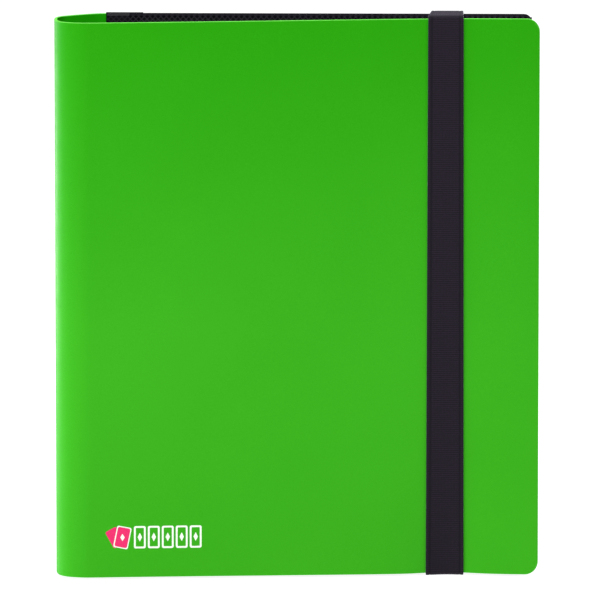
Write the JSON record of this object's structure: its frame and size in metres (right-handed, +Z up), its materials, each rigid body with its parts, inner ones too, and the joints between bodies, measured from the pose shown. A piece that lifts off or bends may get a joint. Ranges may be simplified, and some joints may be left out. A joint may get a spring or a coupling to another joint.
{
  "type": "trading card binder",
  "caption": "Soft-cover card album with a rounded spine, bound four-pocket pages and a wide elastic closing strap.",
  "frame": {"origin": "bottom centre of the closed binder's bounding box, on the surface it stands on", "axes": "+X from the spine to the fore edge, +Y from the front cover to the back cover, +Z up"},
  "size_m": [0.1831, 0.0302, 0.2144],
  "materials": {
    "cover_sheet": "matte lime green polypropylene sheet, fine grain",
    "page_sheet": "black polypropylene, satin",
    "pocket_film": "clear glossy film",
    "binding_tape": "black cloth tape",
    "elastic": "woven black elastic",
    "clip_metal": "crimped nickel-plated steel"
  },
  "bodies": {
    "binding": {"hinge_strip": "cover_sheet", "binding_base": "page_sheet", "binding_tape": "binding_tape", "bound_edges": "page_sheet"},
    "back_cover": {"back_cover": "cover_sheet", "strap_top_tail": "elastic", "strap_bottom_tail": "elastic", "strap_end_clips": "clip_metal"},
    "spine_1": {"spine_strip_1": "cover_sheet"},
    "spine_2": {"spine_strip_2": "cover_sheet"},
    "spine_3": {"spine_strip_3": "cover_sheet"},
    "spine_4": {"spine_strip_4": "cover_sheet"},
    "spine_5": {"spine_strip_5": "cover_sheet"},
    "spine_6": {"spine_strip_6": "cover_sheet"},
    "front_cover": {"front_cover": "cover_sheet"},
    "leaf_01": {"page_01": "page_sheet", "page_films_01": "pocket_film"},
    "leaf_02": {"page_02": "page_sheet", "page_films_02": "pocket_film"},
    "leaf_03": {"page_03": "page_sheet", "page_films_03": "pocket_film"},
    "leaf_04": {"page_04": "page_sheet", "page_films_04": "pocket_film"},
    "leaf_05": {"page_05": "page_sheet", "page_films_05": "pocket_film"},
    "leaf_06": {"page_06": "page_sheet", "page_films_06": "pocket_film"},
    "leaf_07": {"page_07": "page_sheet", "page_films_07": "pocket_film"},
    "leaf_08": {"page_08": "page_sheet", "page_films_08": "pocket_film"},
    "leaf_09": {"page_09": "page_sheet", "page_films_09": "pocket_film"},
    "leaf_10": {"page_10": "page_sheet", "page_films_10": "pocket_film"},
    "leaf_11": {"page_11": "page_sheet", "page_films_11": "pocket_film"},
    "leaf_12": {"page_12": "page_sheet", "page_films_12": "pocket_film"},
    "leaf_13": {"page_13": "page_sheet", "page_films_13": "pocket_film"},
    "leaf_14": {"page_14": "page_sheet", "page_films_14": "pocket_film"},
    "leaf_15": {"page_15": "page_sheet", "page_films_15": "pocket_film"},
    "leaf_16": {"page_16": "page_sheet", "page_films_16": "pocket_film"},
    "leaf_17": {"page_17": "page_sheet", "page_films_17": "pocket_film"},
    "leaf_18": {"page_18": "page_sheet", "page_films_18": "pocket_film"},
    "leaf_19": {"page_19": "page_sheet", "page_films_19": "pocket_film"},
    "leaf_20": {"page_20": "page_sheet", "page_films_20": "pocket_film"},
    "strap": {"strap_front": "elastic", "strap_top_wrap": "elastic", "strap_bottom_wrap": "elastic"}
  },
  "joints": [
    {"name": "back_cover_hinge", "type": "hinge", "parent": "binding", "child": "back_cover", "pos_m": [-0.0555, 0.01355, 0.1072], "axis": [0, 0, 1], "range_deg": [0, 45], "deforming": ["strap_front", "strap_top_wrap", "strap_bottom_wrap"]},
    {"name": "spine_hinge_1", "type": "hinge", "parent": "binding", "child": "spine_1", "pos_m": [-0.0728, 0.01355, 0.1072], "axis": [0, 0, -1], "range_deg": [0, 13.51]},
    {"name": "spine_hinge_2", "type": "hinge", "parent": "spine_1", "child": "spine_2", "pos_m": [-0.07762, 0.01239, 0.1072], "axis": [0, 0, -1], "range_deg": [0, 18.51]},
    {"name": "spine_hinge_3", "type": "hinge", "parent": "spine_2", "child": "spine_3", "pos_m": [-0.08778, 0.00604, 0.1072], "axis": [0, 0, -1], "range_deg": [0, 27.51]},
    {"name": "spine_hinge_4", "type": "hinge", "parent": "spine_3", "child": "spine_4", "pos_m": [-0.09075, 0.001, 0.1072], "axis": [0, 0, -1], "range_deg": [0, 35.51]},
    {"name": "spine_hinge_5", "type": "hinge", "parent": "spine_4", "child": "spine_5", "pos_m": [-0.08993, -0.00838, 0.1072], "axis": [0, 0, -1], "range_deg": [0, 38.01]},
    {"name": "spine_hinge_6", "type": "hinge", "parent": "spine_5", "child": "spine_6", "pos_m": [-0.0853, -0.01334, 0.1072], "axis": [0, 0, -1], "range_deg": [0, 38.76]},
    {"name": "front_cover_hinge", "type": "hinge", "parent": "spine_6", "child": "front_cover", "pos_m": [-0.07746, -0.01447, 0.1072], "axis": [0, 0, -1], "range_deg": [0, 13.75], "deforming": ["strap_front", "strap_top_wrap", "strap_bottom_wrap"]},
    {"name": "page_hinge_01", "type": "hinge", "parent": "binding", "child": "leaf_01", "pos_m": [-0.0635, 0.0029, 0.1072], "axis": [0, 0, -1], "range_deg": [0, 174.01]},
    {"name": "page_hinge_02", "type": "hinge", "parent": "binding", "child": "leaf_02", "pos_m": [-0.0635, 0.0029, 0.1072], "axis": [0, 0, -1], "range_deg": [0, 165.01]},
    {"name": "page_hinge_03", "type": "hinge", "parent": "binding", "child": "leaf_03", "pos_m": [-0.0635, 0.0029, 0.1072], "axis": [0, 0, -1], "range_deg": [0, 156.01]},
    {"name": "page_hinge_04", "type": "hinge", "parent": "binding", "child": "leaf_04", "pos_m": [-0.0635, 0.0029, 0.1072], "axis": [0, 0, -1], "range_deg": [0, 147.01]},
    {"name": "page_hinge_05", "type": "hinge", "parent": "binding", "child": "leaf_05", "pos_m": [-0.0635, 0.0029, 0.1072], "axis": [0, 0, -1], "range_deg": [0, 138.01]},
    {"name": "page_hinge_06", "type": "hinge", "parent": "binding", "child": "leaf_06", "pos_m": [-0.0635, 0.0029, 0.1072], "axis": [0, 0, -1], "range_deg": [0, 129.01]},
    {"name": "page_hinge_07", "type": "hinge", "parent": "binding", "child": "leaf_07", "pos_m": [-0.0635, 0.0029, 0.1072], "axis": [0, 0, -1], "range_deg": [0, 120.01]},
    {"name": "page_hinge_08", "type": "hinge", "parent": "binding", "child": "leaf_08", "pos_m": [-0.0635, 0.0029, 0.1072], "axis": [0, 0, -1], "range_deg": [0, 111.01]},
    {"name": "page_hinge_09", "type": "hinge", "parent": "binding", "child": "leaf_09", "pos_m": [-0.0635, 0.0029, 0.1072], "axis": [0, 0, -1], "range_deg": [0, 102.01]},
    {"name": "page_hinge_10", "type": "hinge", "parent": "binding", "child": "leaf_10", "pos_m": [-0.0635, 0.0029, 0.1072], "axis": [0, 0, -1], "range_deg": [0, 93.01]},
    {"name": "page_hinge_11", "type": "hinge", "parent": "binding", "child": "leaf_11", "pos_m": [-0.0635, 0.0029, 0.1072], "axis": [0, 0, -1], "range_deg": [0, 84.01]},
    {"name": "page_hinge_12", "type": "hinge", "parent": "binding", "child": "leaf_12", "pos_m": [-0.0635, 0.0029, 0.1072], "axis": [0, 0, -1], "range_deg": [0, 75.01]},
    {"name": "page_hinge_13", "type": "hinge", "parent": "binding", "child": "leaf_13", "pos_m": [-0.0635, 0.0029, 0.1072], "axis": [0, 0, -1], "range_deg": [0, 66.01]},
    {"name": "page_hinge_14", "type": "hinge", "parent": "binding", "child": "leaf_14", "pos_m": [-0.0635, 0.0029, 0.1072], "axis": [0, 0, -1], "range_deg": [0, 57.01]},
    {"name": "page_hinge_15", "type": "hinge", "parent": "binding", "child": "leaf_15", "pos_m": [-0.0635, 0.0029, 0.1072], "axis": [0, 0, -1], "range_deg": [0, 48.01]},
    {"name": "page_hinge_16", "type": "hinge", "parent": "binding", "child": "leaf_16", "pos_m": [-0.0635, 0.0029, 0.1072], "axis": [0, 0, -1], "range_deg": [0, 39.01]},
    {"name": "page_hinge_17", "type": "hinge", "parent": "binding", "child": "leaf_17", "pos_m": [-0.0635, 0.0029, 0.1072], "axis": [0, 0, -1], "range_deg": [0, 30.01]},
    {"name": "page_hinge_18", "type": "hinge", "parent": "binding", "child": "leaf_18", "pos_m": [-0.0635, 0.0029, 0.1072], "axis": [0, 0, -1], "range_deg": [0, 21.01]},
    {"name": "page_hinge_19", "type": "hinge", "parent": "binding", "child": "leaf_19", "pos_m": [-0.0635, 0.0029, 0.1072], "axis": [0, 0, -1], "range_deg": [0, 12.01]},
    {"name": "page_hinge_20", "type": "hinge", "parent": "binding", "child": "leaf_20", "pos_m": [-0.0635, 0.0029, 0.1072], "axis": [0, 0, -1], "range_deg": [0, 3.01]},
    {"name": "strap_slide", "type": "slide", "parent": "back_cover", "child": "strap", "axis": [1, 0, 0], "range_m": [0, 0.045], "deforming": ["strap_front", "strap_top_wrap", "strap_bottom_wrap"]}
  ],
  "couplings": [
    {"joint": "spine_hinge_1", "follows": "front_cover_hinge", "ratio": 0.98182},
    {"joint": "spine_hinge_2", "follows": "front_cover_hinge", "ratio": 1.3455},
    {"joint": "spine_hinge_3", "follows": "front_cover_hinge", "ratio": 2},
    {"joint": "spine_hinge_4", "follows": "front_cover_hinge", "ratio": 2.5818},
    {"joint": "spine_hinge_5", "follows": "front_cover_hinge", "ratio": 2.7636},
    {"joint": "spine_hinge_6", "follows": "front_cover_hinge", "ratio": 2.8182},
    {"joint": "page_hinge_01", "follows": "front_cover_hinge", "ratio": 12.655},
    {"joint": "page_hinge_02", "follows": "front_cover_hinge", "ratio": 12},
    {"joint": "page_hinge_03", "follows": "front_cover_hinge", "ratio": 11.345},
    {"joint": "page_hinge_04", "follows": "front_cover_hinge", "ratio": 10.691},
    {"joint": "page_hinge_05", "follows": "front_cover_hinge", "ratio": 10.036},
    {"joint": "page_hinge_06", "follows": "front_cover_hinge", "ratio": 9.3818},
    {"joint": "page_hinge_07", "follows": "front_cover_hinge", "ratio": 8.7273},
    {"joint": "page_hinge_08", "follows": "front_cover_hinge", "ratio": 8.0727},
    {"joint": "page_hinge_09", "follows": "front_cover_hinge", "ratio": 7.4182},
    {"joint": "page_hinge_10", "follows": "front_cover_hinge", "ratio": 6.7636},
    {"joint": "page_hinge_11", "follows": "front_cover_hinge", "ratio": 6.1091},
    {"joint": "page_hinge_12", "follows": "front_cover_hinge", "ratio": 5.4545},
    {"joint": "page_hinge_13", "follows": "front_cover_hinge", "ratio": 4.8},
    {"joint": "page_hinge_14", "follows": "front_cover_hinge", "ratio": 4.1455},
    {"joint": "page_hinge_15", "follows": "front_cover_hinge", "ratio": 3.4909},
    {"joint": "page_hinge_16", "follows": "front_cover_hinge", "ratio": 2.8364},
    {"joint": "page_hinge_17", "follows": "front_cover_hinge", "ratio": 2.1818},
    {"joint": "page_hinge_18", "follows": "front_cover_hinge", "ratio": 1.5273},
    {"joint": "page_hinge_19", "follows": "front_cover_hinge", "ratio": 0.87273},
    {"joint": "page_hinge_20", "follows": "front_cover_hinge", "ratio": 0.21818}
  ]
}
